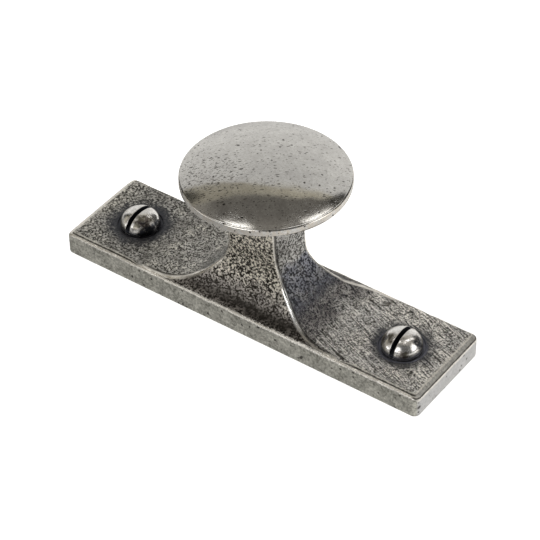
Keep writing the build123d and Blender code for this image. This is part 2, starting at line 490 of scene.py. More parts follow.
soft = Waves(3, 7.0)(points) * 0.018 + Waves(4, 2.6)(points) * 0.008
wob = Waves(5, 2.4)(points) * 0.035 + Waves(6, 1.1)(points) * 0.016
move = soft * (part_of != 1) + 0.35 * soft * (part_of == 1)
near_arris = np.exp(-(d_arris / 0.55) ** 2)
flat_back = (az_ < 0.35) | ((part_of == 3) & (az_ < 4.3))
move = np.where(flat_back, 0, move)
radial = points.copy()
radial[:, 2] = 0
radial /= np.maximum(np.linalg.norm(radial, axis=1), 1e-6)[:, None]
is_top = (part_of == 3) | (part_of == 2) | ((part_of == 0) & (az_ < 5.0))
is_dome = (part_of == 1) & (az_ > RIM_HIGH)
direction = np.where((is_top | is_dome)[:, None], np.array([0, 0, 1.0]), radial)
points = points + direction * move[:, None]
rubbed = (points[:, 0] > 0) * (points[:, 1] < 0) * ease(az_, 5.0, 6.0) * ease(az_, 12.0, 9.5)
points -= (radial * 0.6 + np.array([0, 0, 0.4])) * (near_arris * (0.03 + wob * (1 - 0.85 * rubbed)))[:, None]
# The plate's worn edges wander and are nicked here and there.
edge_w = Waves(8, 3.4)(points) * 0.022 + Waves(9, 1.3)(points) * 0.014
on_edge = (row_of >= 1) & (row_of <= 15)
inward = np.zeros_like(points)
long_side = (HALF_W - ay_) < (HALF_L - ax_)
inward[:, 1] = np.where(long_side, -np.sign(points[:, 1]), 0)
inward[:, 0] = np.where(long_side, 0, -np.sign(points[:, 0]))
points += inward * (np.where(on_edge, np.abs(edge_w) + edge_w * 0.3, 0) * 0.8)[:, None]
points[:, 2] -= np.where(on_edge, np.abs(edge_w) * 0.5, 0)
points[:, 0] = np.clip(points[:, 0], -38.0, 38.0)
points[:, 1] = np.clip(points[:, 1], -15.0, 15.0)
points[:, 2] = np.clip(points[:, 2], 0.0, 32.1)

# --------------------------------------------------------- finish per vertex
x, y, z = points.T
r_xy = np.hypot(x, y)
ragged = Waves(12, 3.0)(points) * 0.5 + Waves(13, 1.2)(points) * 0.35
head_d = np.minimum(np.hypot(x - FIX_X, y), np.hypot(x + FIX_X, y))
top_face = (z > 3.9) & (part_of != 1)

dome = ((part_of == 1) & (z > RIM_LOW - 0.1)).astype(float)
ridge = np.zeros(len(points))
for k, w in ((0, 0.25), (1, 0.7), (2, 1.0), (3, 0.8), (4, 0.3)):
    ridge[(row_of == k)] = w
ridge *= (ax_ > 21.5) & ((y < 0) | (x > 36)) & (x > -36.9)
ridge[x > 36.55] *= 1.15
groove = np.zeros(len(points))
front_side = (y < 0) & (ay_ > 8.2) & (ax_ < 37.1)
for k, w in ((4, 0.35), (5, 0.85), (6, 1.0), (7, 0.95), (8, 0.45)):
    groove[(row_of == k) & front_side] = w
groove *= ease(ax_, 20.5, 23.5)
end_groove = np.zeros(len(points))
for k, w in ((10, 0.5), (11, 1.0), (12, 1.0), (13, 0.4)):
    end_groove[(row_of == k) & (x > 36.9)] = w
groove = np.maximum(groove, end_groove)
lip = np.zeros(len(points))
for k, w in ((8, 0.3), (9, 0.75), (10, 1.0), (11, 1.0), (12, 0.9), (13, 0.7), (14, 0.4)):
    lip[(row_of == k) & (ay_ > 8.2) & (ax_ < 37.6)] = w
for k, w in ((13, 0.5), (14, 1.0), (15, 1.0), (16, 0.6)):
    lip[(row_of == k) & (x >= 37.6)] = w
for k, w in zip(range(2, 16), (0.2, 0.5, 0.8, 1, 1, 1, 1, 1, 1, 1, 1, 0.9, 0.6, 0.3)):
    lip[(row_of == k) & (x < -36.5)] = w
slack = np.maximum(d_arris - 0.22 - 0.12 * ((x < 0) & (y < 0) & (z < 7)), 0)
clean = (x > 0) & (y < 0)
slack = np.where(clean, np.maximum(d_arris - 0.10, 0), slack)
arris = np.exp(-(slack / np.where(clean, 0.15, 0.20 + 0.05 * ragged)) ** 2)
wall = ((row_of >= 15) & (part_of == 2)).astype(float)
front_neck = ((part_of == 0) & (y < 0)).astype(float) * (ay_ / np.maximum(lev_y.min(), 1) > 0)
# The four faces of the neck: 1 on the front and back ones.
face_y = np.interp(z, zs_side, side_c[:, 0])
face_x = np.interp(z, zs_end, end_c[:, 0])
on_side = ((face_y - ay_) < (face_x - ax_)) | (ay_ > face_y - 0.05)
side_face = ((part_of == 0) & on_side).astype(float)
end_face = ((part_of == 0) & ~on_side).astype(float)

bearing = np.degrees(np.arctan2(y, x - FIX_X))
# Painted highlight: a light bluish crescent on the rounded rim of the right seat, on its front and right side only.
seat_rim_highlight = np.exp(-((head_d - 4.33) / 0.17) ** 2) * (part_of == 3) * (z > 3.9) * (x > 0)
seat_rim_highlight *= ease(bearing, -125, -100) * ease(bearing, 45, 5)
# A darker band on the neck's end faces, just beside the arris.
beside = np.exp(-((d_arris - 0.55) / 0.24) ** 2) * (end_face > 0) * (y < 0)
arris_dark_band = np.clip(beside * np.where(x > 0, 0.90, ease(z, 6.3, 5.0)), 0, 1)
arris_dark_band *= ease(ax_, 22.0, 19.0)

bevel = np.zeros(len(points))
for k, w in ((3, 0.2), (4, 0.6), (5, 1.0), (6, 1.0), (7, 1.0), (8, 1.0), (9, 1.0), (10, 0.8), (11, 0.4)):
    bevel[(row_of == k) & (x > 36.6) & (37.99 - x < 1.2)] = w

fields = {
    "dome": dome,
    "bevel": bevel,
    "arris_dark_band": arris_dark_band,
    "seat_rim_highlight": seat_rim_highlight,
    "ridge": np.clip(ridge, 0, 1.35),
    "groove": groove,
    "lip": lip,
    "arris": arris,
    "wall": wall,
    "side_face": side_face,
    "end_face": end_face,
    "halo": np.where(top_face, ease(head_d + 0.45 * ragged, np.where(x < 0, 7.9, 7.3), 4.4), 0),
    "seat": ((part_of == 3) & (head_d < 4.3)).astype(float) * (z > 0.2),
    "left": ease(x + ragged, 3.0, -3.0),
    "foot": side_face * np.exp(-((ay_ + 0.35 * ragged - 8.0) / 0.95) ** 2) * ease(ax_, 14.5, 10.0) * (0.95 - 0.35 * ease(x, 0, -8)),
    "glint": clean * np.exp(-(np.maximum(d_arris - 0.26, 0) / 0.18) ** 2) * ease(z, 4.75, 5.4) * ease(z, 10.4, 8.8),
}
casting = make_object("casting_body", points, faces, fields)


# --------------------------------------------------------------- the screws
def screw(name, cx, turn, seed, half_slot, stains_and_reflections):
    """A slotted round-head wood screw: head, shank and a cut thread. Stains and
    painted reflections are (direction from the head's centre, half angle in degrees)."""
    s = Shell()
    radius, slot_floor = 3.7, SEAT_Z + 0.85
    z0, side_h, tall, power = SEAT_Z, 0.35, 3.0, 2.2
    n_a = 72
    a = np.linspace(0, np.pi, n_a + 1)

    def arc_row(c, shrink=0.0):
        """The head's outline in the plane x = c, over its upright side."""
        rho = max(math.sqrt(max(radius**2 - c * c, 0.0)), 1e-3)
        yy = rho * np.cos(a)
        share = np.clip(np.hypot(c, yy) / radius, 0, 1)
        zz = tall * np.maximum(1 - share**power, 0) ** (1 / power)
        k = 1 - shrink / radius
        yy, zz = yy * k, zz * k
        yy = np.r_[yy[0], yy[0], yy, yy[-1], yy[-1]]
        zz = np.r_[-side_h, -side_h / 2, zz, -side_h / 2, -side_h]
        return np.stack([np.full(len(yy), c), yy, z0 + side_h + zz], 1)

    cs = [half_slot + 0.085] + list(half_slot + 0.085 + (radius - half_slot - 0.085) * np.sin(np.linspace(0, np.pi / 2, 40))[1:])
    rows_r = [arc_row(c) for c in cs]
    soft_row = arc_row(half_slot + 0.035, 0.012)
    lip_row = arc_row(half_slot + 0.006, 0.045)
    wall_top = arc_row(half_slot, 0.10)
    walls = []
    for t in (0.25, 0.6, 1.0):
        w = wall_top.copy()
        w[:, 2] = wall_top[:, 2] + t * (np.minimum(wall_top[:, 2], slot_floor) - wall_top[:, 2])
        walls.append(w)
    mids = []
    for f in (0.5, 0.0):
        w = walls[-1].copy()
        w[:, 0] = half_slot * f
        mids.append(w)
    right = rows_r[::-1] + [soft_row, lip_row, wall_top] + walls + mids
    left = [r * [-1, 1, 1] for r in right[:-1]][::-1]
    ids = [s.add(r) for r in right + left]
    for p, q in zip(ids[:-1], ids[1:]):
        s.band(p, q, closed=False)
    # Underside from the head's rim to the shank.
    pts = s.points()
    loop = np.array([i[0] for i in ids] + [i[-1] for i in ids[::-1]])
    th = np.sort(np.mod(np.arctan2(pts[loop][:, 1], pts[loop][:, 0]), 2 * np.pi))
    prev = loop
    for r in (2.4, 1.5):
        ids2 = s.add(np.c_[r * np.cos(th), r * np.sin(th), np.full(len(th), z0)])
        s.band(prev, ids2)
        prev = ids2
    # Shank, run-out, thread and gimlet point on the same columns.
    crest, root, pitch, start, tip_z = 1.745, 1.22, 1.35, -1.6, z0 - 19.0
    zz = list(np.linspace(z0 - 0.3, start + 0.45, 8)) + list(np.arange(start + 0.4, tip_z + 0.05, -0.085))
    for zc in zz:
        if zc > start + 0.42:
            rr = np.full(len(th), 1.5)
        else:
            phase = ((zc - tip_z) / pitch - th / (2 * np.pi)) % 1.0
            tri = np.abs(phase - 0.5) * 2
            fl = np.clip((tri - 0.42) / 0.46, 0, 1)
            tall = crest - root
            full = ease(start + 0.4 - zc, 0.0, 1.6)
            base_r = 1.5 + (root - 1.5) * float(full)
            rr = base_r + (crest - base_r) * fl * float(full)
            room = 1.745 * min(1.0, (zc - tip_z) / 3.6)
            core = root * min(1.0, (zc - tip_z) / 3.9)
            rr = np.minimum(np.maximum(core + (rr - root), core), max(room, 0.02))
        ids2 = s.add(np.c_[rr * np.cos(th), rr * np.sin(th), np.full(len(th), zc)])
        s.band(prev, ids2)
        prev = ids2
    end = s.add([(0, 0, tip_z)])[0]
    s.fan(prev, end)
    p = s.points()
    dent = Waves(seed, 1.6)(p) * 0.006
    in_head = p[:, 2] > z0 + 0.1
    out = p - [0, 0, z0]
    out /= np.maximum(np.linalg.norm(out, axis=1), 1e-6)[:, None]
    p = p - out * (np.abs(dent) * in_head)[:, None]
    in_slot = ((np.abs(p[:, 0]) < half_slot + 0.02) & (p[:, 2] > z0 + 0.2)).astype(float)
    lip_f = ((np.abs(np.abs(p[:, 0]) - (half_slot + 0.04)) < 0.05) & (p[:, 2] > slot_floor)).astype(float)
    c, sn = math.cos(math.radians(-turn)), math.sin(math.radians(-turn))
    q = p.copy()
    q[:, 0], q[:, 1] = p[:, 0] * c - p[:, 1] * sn + cx, p[:, 0] * sn + p[:, 1] * c
    low = 1 - ease(p[:, 2], z0 + 0.05, z0 + 0.55)
    way = q - [cx, 0, z0]
    way /= np.maximum(np.linalg.norm(way, axis=1), 1e-6)[:, None]
    blur = Waves(seed + 5, 1.6)(q) * 5.0 + Waves(seed + 6, 0.8)(q) * 3.0
    stain_and_reflection = np.zeros((2, len(q)))
    for kind, direction, half in stains_and_reflections:
        v = np.array(direction) / np.linalg.norm(direction)
        off = np.degrees(np.arccos(np.clip(way @ v, -1, 1))) + blur
        stain_and_reflection[kind] = np.maximum(stain_and_reflection[kind], ease(off, half + 7, half - 7))
    in_head = (p[:, 2] > z0 + 0.02).astype(float)
    return make_object(name, q, s.f, {"in_slot": in_slot, "slot_lip": lip_f, "low": low,
                                      "brown": stain_and_reflection[0] * in_head, "blue": stain_and_reflection[1] * in_head,
                                      "shank": (p[:, 2] < z0 + 0.001).astype(float)})


screw_l = screw("screw_left_body", -FIX_X, 3.0, 21, 0.44, [
    (0, (0.74, -0.52, 0.42), 25), (0, (0.45, -0.58, 0.66), 24), (0, (0.62, -0.22, 0.74), 15),
    (1, (0.93, 0.22, 0.28), 17), (1, (0.95, -0.27, 0.20), 20), (1, (0.72, -0.62, 0.30), 16),
])
# On this head the three brown marks turned towards the knob are a painted reflection of the knob's dark brown neck; the
# fourth is a stain.
screw_r = screw("screw_right_body", FIX_X, -2.0, 22, 0.425, [
    (0, (-0.47, -0.49, 0.73), 13), (0, (-0.70, -0.48, 0.52), 17), (0, (0.45, -0.72, 0.42), 8),
    (0, (-0.86, -0.30, 0.22), 18), (1, (0.83, 0.18, 0.50), 13),
])

for ob, node, slot_name in (
    (casting, "knob_casting", "casting"),
    (screw_l, "screw_left", "screw_steel"),
    (screw_r, "screw_right", "screw_steel"),
):
    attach(ob, "root")
    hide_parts(node)


# ---------------------------------------------------------------- materials
class Graph:
    """Short spellings for the shader nodes used below."""

    def __init__(self, tree):
        self.t = tree
        tree.nodes.clear()

    def node(self, kind, **props):
        n = self.t.nodes.new(kind)
        for k, v in props.items():
            setattr(n, k, v)
        return n

    def put(self, socket, value):
        if isinstance(value, bpy.types.NodeSocket):
            self.t.links.new(value, socket)
        elif value is not None:
            socket.default_value = value

    def math(self, op, a, b=None, c=None, clamp=False):
        n = self.node("ShaderNodeMath", operation=op, use_clamp=clamp)
        for s, v in zip(n.inputs, (a, b, c)):
            self.put(s, v)
        return n.outputs[0]

    def mul(self, a, b):
        return self.math("MULTIPLY", a, b)

    def add(self, a, b):
        return self.math("ADD", a, b)

    def sub(self, a, b):
        return self.math("SUBTRACT", a, b)

    def one_minus(self, a):
        return self.math("SUBTRACT", 1.0, a)

    def clamp(self, a):
        return self.math("ADD", a, 0.0, clamp=True)

    def mix(self, f, a, b, mode="MIX"):
        n = self.node("ShaderNodeMix", data_type="RGBA", blend_type=mode)
        self.put(n.inputs[0], f)
        for s, v in ((n.inputs[6], a), (n.inputs[7], b)):
            self.put(s, (*v, 1.0) if isinstance(v, tuple) and len(v) == 3 else v)
        return n.outputs[2]

    def lerp(self, f, a, b):
        n = self.node("ShaderNodeMix", data_type="FLOAT")
        self.put(n.inputs[0], f)
        self.put(n.inputs[2], a)
        self.put(n.inputs[3], b)
        return n.outputs[0]

    def attr(self, name):
        return self.node("ShaderNodeAttribute", attribute_name=name).outputs["Fac"]

    def noise(self, vec, scale, detail=2.0, rough=0.5, warp=0.0):
        n = self.node("ShaderNodeTexNoise")
        self.put(n.inputs["Vector"], vec)
        n.inputs["Scale"].default_value = scale
        n.inputs["Detail"].default_value = detail
        n.inputs["Roughness"].default_value = rough
        n.inputs["Distortion"].default_value = warp
        return n.outputs["Fac"]

    def cells(self, vec, scale, what="Distance", feature="F1", rand=1.0):
        n = self.node("ShaderNodeTexVoronoi", feature=feature)
        self.put(n.inputs["Vector"], vec)
        n.inputs["Scale"].default_value = scale
        n.inputs["Randomness"].default_value = rand
        return n.outputs[what]

    def step(self, v, a, b, lo=0.0, hi=1.0):
        n = self.node("ShaderNodeMapRange", interpolation_type="SMOOTHSTEP")
        self.put(n.inputs[0], v)
        n.inputs[1].default_value, n.inputs[2].default_value = a, b
        n.inputs[3].default_value, n.inputs[4].default_value = lo, hi
        return n.outputs[0]

    def mapped(self, vec, rot=(0, 0, 0), scale=(1, 1, 1), loc=(0, 0, 0)):
        n = self.node("ShaderNodeMapping")
        self.put(n.inputs[0], vec)
        n.inputs[1].default_value = loc
        n.inputs[2].default_value = rot
        n.inputs[3].default_value = scale
        return n.outputs[0]


def in_mm(g):
    c = g.node("ShaderNodeTexCoord").outputs["Object"]
    n = g.node("ShaderNodeVectorMath", operation="SCALE")
    g.put(n.inputs[0], c)
    n.inputs[3].default_value = 1000.0
    return n.outputs[0]


def casting_material():
    m = bpy.data.materials.new("antiqued_casting")
    m.use_nodes = True
    g = Graph(m.node_tree)
    out = g.node("ShaderNodeOutputMaterial")
    bsdf = g.node("ShaderNodeBsdfPrincipled")
    p = in_mm(g)
    a = {k: g.attr(k) for k in fields}
    sep = g.node("ShaderNodeSeparateXYZ")
    g.put(sep.inputs[0], p)
    px, py, pz = sep.outputs

    def speckle(scale, weights, lo, hi):
        """Casting grain: three octaves of about equal strength."""
        total = None
        for k, w in enumerate(weights):
            n = g.mul(g.sub(g.noise(p, scale * (1.0, 2.05, 4.3)[k], 1.0, 0.5), 0.5), w)
            total = n if total is None else g.add(total, n)
        return g.step(total, lo, hi)

    def crumbs(vec, scale):
        """A random level for each small cell, centred on nought."""
        n = g.node("ShaderNodeTexVoronoi", feature="F1")
        g.put(n.inputs["Vector"], vec)
        n.inputs["Scale"].default_value = scale
        c = g.node("ShaderNodeSeparateColor")
        g.put(c.inputs[0], n.outputs["Color"])
        return g.mul(g.sub(c.outputs[0], 0.5), 0.42)

    def grain(noise_scale, noise_w, crumb_scale, crumb_w, lo, hi):
        a_ = g.mul(g.sub(g.noise(p, noise_scale, 1.0, 0.5), 0.5), noise_w)
        return g.step(g.add(a_, g.mul(crumbs(p, crumb_scale), crumb_w)), lo, hi)

    def pits(scale, biggest, share):
        """Round pits of uneven size; only this share of the cells has one."""
        n = g.node("ShaderNodeTexVoronoi", feature="F1")
        wobble = g.node("ShaderNodeVectorMath", operation="ADD")
        nz = g.node("ShaderNodeTexNoise")
        g.put(nz.inputs["Vector"], p)
        nz.inputs["Scale"].default_value = scale * 2.1
        nz.inputs["Detail"].default_value = 1.0
        sc = g.node("ShaderNodeVectorMath", operation="SCALE")
        g.put(sc.inputs[0], nz.outputs["Color"])
        sc.inputs[3].default_value = 0.35 / scale
        g.put(wobble.inputs[0], p)
        g.put(wobble.inputs[1], sc.outputs[0])
        g.put(n.inputs["Vector"], wobble.outputs[0])
        n.inputs["Scale"].default_value = scale
        c = g.node("ShaderNodeSeparateColor")
        g.put(c.inputs[0], n.outputs["Color"])
        size = g.mul(g.step(c.outputs[0], 1.0 - share, 1.0), biggest)
        return g.clamp(g.mul(g.sub(size, n.outputs["Distance"]), 9.0 / biggest * 0.45))

    def strokes(angle, long, wide, loc=(0, 0, 0)):
        n = g.node("ShaderNodeMapping", vector_type="TEXTURE")
        g.put(n.inputs[0], p)
        n.inputs[1].default_value = loc
        n.inputs[2].default_value = (0, 0, math.radians(angle))
        n.inputs[3].default_value = (long, wide, wide)
        return n.outputs[0]

    broad = g.noise(p, 0.17, 2.0, 0.5)
    patchy = g.noise(p, 0.42, 3.0, 0.6)
    fine = g.noise(p, 4.6, 1.5, 0.6)
    right = g.one_minus(a["left"])

    # Left end: rough as cast. Right end: rubbed down, with straight scratches.
    rough_grain = grain(2.3, 0.80, 3.9, 1.15, -0.37, 0.34)
    finer_grain = grain(2.6, 0.38, 4.5, 1.25, -0.35, 0.26)
    rough_grain = g.lerp(g.step(g.add(px, g.mul(patchy, 8.0)), -21.0, -15.0), rough_grain, finer_grain)
    deep_grain = grain(2.4, 0.6, 3.7, 1.45, -0.29, 0.24)
    lines2 = g.noise(strokes(-20, 5.5, 0.20, (3, 1, 2)), 1.0, 0.0, 0.5)
    together = g.add(g.mul(crumbs(p, 5.4), 1.20), g.mul(crumbs(strokes(-21, 1.8, 0.115), 1.0), 0.66))
    together = g.add(together, g.mul(crumbs(strokes(64, 1.4, 0.115, (5, 2, 1)), 1.0), 0.40))
    together = g.add(together, g.mul(g.sub(g.noise(p, 2.6, 1.0, 0.5), 0.5), 0.10))
    smooth_grain = g.step(together, -0.33, 0.24)
    scratch = g.sub(g.step(lines2, 0.64, 0.72), g.step(lines2, 0.37, 0.29))
    scratch = g.mul(scratch, g.step(patchy, 0.34, 0.60, 0.25, 0.6))
    brushed = g.clamp(g.add(smooth_grain, scratch))
    tone = g.lerp(a["left"], brushed, rough_grain)
    on_neck = g.mul(a["end_face"], g.step(pz, 5.4, 8.5))
    tone = g.lerp(on_neck, tone, grain(2.2, 0.6, 3.6, 1.25, -0.27, 0.20))
    tone = g.lerp(a["side_face"], tone, deep_grain)

    # Two ends of the patina: what sits in the hollows and what is rubbed bright.
    deep = g.mix(a["left"], (0.062, 0.058, 0.052), (0.044, 0.042, 0.037))
    high = g.mix(a["left"], (0.99, 0.955, 0.89), (0.82, 0.79, 0.71))
    high = g.mix(g.step(broad, 0.35, 0.65), high, g.mix(a["left"], (0.84, 0.82, 0.78), (0.62, 0.605, 0.565)))
    high = g.mix(g.mul(g.mul(a["left"], g.step(px, -38.0, -31.0)), g.step(patchy, 0.42, 0.60)), high, (0.47, 0.455, 0.42))
    high = g.mix(g.mul(on_neck, right), high, (0.50, 0.49, 0.465))
    high = g.mix(g.mul(on_neck, a["left"]), high, (0.50, 0.495, 0.47))
    deep = g.mix(a["side_face"], deep, (0.022, 0.019, 0.015))
    # On the neck's front and back faces the light end is darker low down and cream higher up.
    high = g.mix(a["side_face"], high, g.mix(g.step(g.add(pz, g.mul(patchy, 5.0)), 8.7, 13.2), (0.33, 0.305, 0.28), (0.93, 0.87, 0.75)))
    blue = g.mul(a["end_face"], g.mul(g.step(g.add(px, g.mul(g.sub(broad, 0.5), 9.0)), 17.5, 13.5),
                                      g.step(g.add(pz, g.mul(g.sub(patchy, 0.5), 4.0)), 13.0, 11.2)))
    blue = g.mul(g.mul(blue, right), g.step(g.noise(p, 0.33, 2.0, 0.6), 0.34, 0.56, 0.62, 1.0))
    deep = g.mix(blue, deep, (0.032, 0.033, 0.039))
    high = g.mix(blue, high, g.mix(g.step(pz, 5.4, 7.0), (0.27, 0.255, 0.245), (0.265, 0.270, 0.300)))
    col = g.mix(g.math("POWER", tone, 1.7), deep, high)
    worst = g.node("ShaderNodeVectorMath", operation="DISTANCE")
    g.put(worst.inputs[0], p)
    worst.inputs[1].default_value = (-0.8, -5.4, 11.0)
    worst_in = g.step(worst.outputs["Value"], 4.2, 1.2)
    black_pits = g.mul(pits(1.9, 0.42, 0.60), g.mul(a["side_face"], g.step(pz, 6.0, 9.0)))
    black_pits = g.clamp(g.add(black_pits, g.mul(g.mul(pits(1.15, 0.46, 0.75), worst_in), a["side_face"])))
    sunk = g.mul(pits(1.25, 0.28, 0.26), g.sub(1.0, g.clamp(g.add(a["wall"], a["dome"]))))
    col = g.mix(g.clamp(g.add(black_pits, g.mul(sunk, 0.7))), col, (0.022, 0.019, 0.016))

    # Long edges' upright sides: tumbled smooth, a few pits.
    side_pits = g.clamp(g.add(pits(1.15, 0.33, 0.46), pits(0.55, 0.22, 0.40)))
    mott = g.add(g.mul(g.step(patchy, 0.3, 0.7), 0.45), g.mul(g.step(g.noise(p, 2.3, 2.5, 0.65), 0.33, 0.67), 0.55))
    mott = g.clamp(g.add(g.mul(mott, 0.85), g.mul(g.sub(speckle(1.5, (0.6, 1.0, 0.5), -0.18, 0.18), 0.35), 0.30)))
    wall_col = g.mix(mott, (0.22, 0.215, 0.185), (0.73, 0.715, 0.64))
    wall_col = g.mix(g.step(px, 37.6, 37.95), wall_col, g.mix(g.mul(g.add(mott, fine), 0.5), (0.30, 0.297, 0.292), (0.60, 0.595, 0.585)))
    wall_col = g.mix(g.mul(side_pits, 0.85), wall_col, (0.035, 0.030, 0.026))
    col = g.mix(a["wall"], col, wall_col)

    # Burnished grip: clear metal, pinholes, and short tool-like dashes, each with a painted highlight along one edge.
    where = g.node("ShaderNodeVectorMath", operation="DISTANCE")
    g.put(where.inputs[0], p)
    where.inputs[1].default_value = (-7.0, -8.0, 30.5)
    near_by = g.step(where.outputs["Value"], 9.0, 3.5)
    crowd = g.add(g.mul(near_by, 0.50), 0.17)

    def dashes(angle, long, wide, loc, more, size):
        """Short strokes of uneven length; only some of the cells have one."""
        n = g.node("ShaderNodeTexVoronoi", feature="F1")
        wob_ = g.node("ShaderNodeVectorMath", operation="ADD")
        g.put(wob_.inputs[0], strokes(angle, long, wide, loc))
        nz = g.node("ShaderNodeTexNoise")
        g.put(nz.inputs["Vector"], p)
        nz.inputs["Scale"].default_value = 1.1
        sc_ = g.node("ShaderNodeVectorMath", operation="SCALE")
        g.put(sc_.inputs[0], nz.outputs["Color"])
        sc_.inputs[3].default_value = 0.9
        g.put(wob_.inputs[1], sc_.outputs[0])
        g.put(n.inputs["Vector"], wob_.outputs[0])
        n.inputs["Scale"].default_value = 1.0
        c = g.node("ShaderNodeSeparateColor")
        g.put(c.inputs[0], n.outputs["Color"])
        keep = g.step(g.sub(g.add(c.outputs[0], g.mul(crowd, more)), 1.0), -0.02, 0.06)
        thick = g.mul(c.outputs[1], size)
        return g.mul(g.step(g.sub(n.outputs["Distance"], thick), 0.22, 0.10), keep)

    dash = g.add(dashes(42, 0.95, 0.34, (0, 0, 0), 1.15, 0.24), g.mul(dashes(52, 0.60, 0.25, (1.3, 0.7, 0.2), 1.35, 0.22), 0.8))
    # Painted highlight: a light copy of the dashes, shifted a little to one side, so one edge of each dash looks lit.
    bright = dashes(42, 0.95, 0.34, (0.12, -0.20, 0.0), 1.15, 0.20)
    pin = g.clamp(g.add(pits(0.95, 0.24, 0.45), g.mul(pits(1.9, 0.30, 0.40), 0.6)))
    on_rim = g.mul(a["dome"], g.step(pz, 29.05, 28.95))
    marks = g.clamp(g.add(g.mul(g.mul(dash, g.one_minus(on_rim)), g.step(fine, 0.30, 0.65, 1.0, 0.65)), pin))
    clear = g.mix(g.step(patchy, 0.30, 0.70), (0.560, 0.548, 0.525), (0.655, 0.645, 0.615))
    clear = g.mix(g.mul(speckle(2.2, (1.0, 1.0, 0.3), -0.20, 0.20), 0.46), clear, (0.44, 0.425, 0.395))
    clear = g.mix(g.mul(bright, g.step(near_by, 0.0, 1.0, 0.05, 0.22)), clear, (0.76, 0.75, 0.71))
    clear = g.mix(g.mul(on_rim, g.step(g.noise(p, 1.5, 2.0, 0.6), 0.35, 0.65)), clear, (0.56, 0.52, 0.46))
    rim_pits = g.mul(g.clamp(g.add(pits(1.5, 0.36, 0.55), pits(0.8, 0.26, 0.5))), on_rim)
    marks = g.clamp(g.add(marks, rim_pits))
    clear = g.mix(g.mul(marks, 0.95), clear, (0.045, 0.038, 0.032))
    col = g.mix(a["dome"], col, clear)

    smooth_bevel = g.mix(g.mul(g.add(mott, fine), 0.5), (0.29, 0.282, 0.262), (0.62, 0.605, 0.565))
    col = g.mix(g.mul(a["bevel"], 0.80), col, smooth_bevel)

    # Rubbed edges, dark lines and bands, and the dark rings round the screws.
    chip = g.step(g.noise(p, 1.5, 2.0, 0.6), 0.28, 0.52, 0.62, 1.0)
    worn = g.clamp(g.add(g.add(g.mul(a["arris"], 1.1), g.mul(a["ridge"], 0.75)), g.mul(a["lip"], 0.9)))
    worn = g.mul(worn, chip)
    col = g.mix(worn, col, g.mix(fine, (0.64, 0.605, 0.54), (0.86, 0.83, 0.76)))
    col = g.mix(a["glint"], col, (0.95, 0.94, 0.91))
    # Darker along the plate edge's groove, beside the neck's arrises and round the foot of the neck's front and back
    # faces.
    dark_lines_and_bands = g.clamp(g.mul(g.add(g.add(a["groove"], a["arris_dark_band"]), a["foot"]), g.step(patchy, 0.25, 0.5, 0.6, 1.0)))
    col = g.mix(g.mul(dark_lines_and_bands, 0.92), col, (0.040, 0.036, 0.031))
    halo = g.mul(a["halo"], g.step(g.mul(tone, g.one_minus(g.mul(a["halo"], 0.55))), 0.42, 0.72, 1.0, 0.55))
    col = g.mix(g.mul(halo, 0.93), col, (0.046, 0.048, 0.056))
    col = g.mix(g.mul(a["seat"], 0.9), col, g.mix(a["left"], (0.155, 0.160, 0.190), (0.060, 0.062, 0.072)))
    # Painted highlight on the right seat's rim.
    col = g.mix(g.mul(a["seat_rim_highlight"], g.step(patchy, 0.3, 0.5, 0.4, 1.0)), col, (0.17, 0.175, 0.215))
    g.put(bsdf.inputs["Base Color"], col)

    rough = g.step(tone, 0.0, 1.0, 0.58, 0.42)
    rough = g.lerp(a["wall"], rough, 0.34)
    dome_rough = g.step(patchy, 0.3, 0.7, 0.075, 0.125)
    rough = g.lerp(a["dome"], rough, g.add(dome_rough, g.mul(on_rim, 0.14)))
    rough = g.lerp(worn, rough, 0.24)
    rough = g.lerp(a["glint"], rough, 0.12)
    rough = g.lerp(g.clamp(g.add(g.add(dark_lines_and_bands, halo), a["seat"])), rough, 0.46)
    g.put(bsdf.inputs["Roughness"], rough)
    bsdf.inputs["Metallic"].default_value = 1.0

    open_face = g.sub(1.0, g.clamp(g.add(g.add(a["dome"], a["wall"]), worn)))
    height = g.mul(g.mul(tone, open_face), g.one_minus(a["bevel"]))
    height = g.sub(height, g.mul(g.mul(side_pits, a["wall"]), 1.2))
    height = g.sub(height, g.mul(g.mul(marks, a["dome"]), 0.08))
    height = g.sub(height, g.mul(g.add(black_pits, sunk), 1.2))
    height = g.add(height, g.mul(g.mul(fine, a["dome"]), 0.10))
    height = g.add(height, g.mul(g.mul(mott, a["wall"]), 0.35))
    b = g.node("ShaderNodeBump")
    b.inputs["Strength"].default_value = 0.75
    b.inputs["Distance"].default_value = 0.00005
    g.put(b.inputs["Height"], height)
    g.put(bsdf.inputs["Normal"], b.outputs[0])
    g.t.links.new(bsdf.outputs[0], out.inputs[0])
    return m


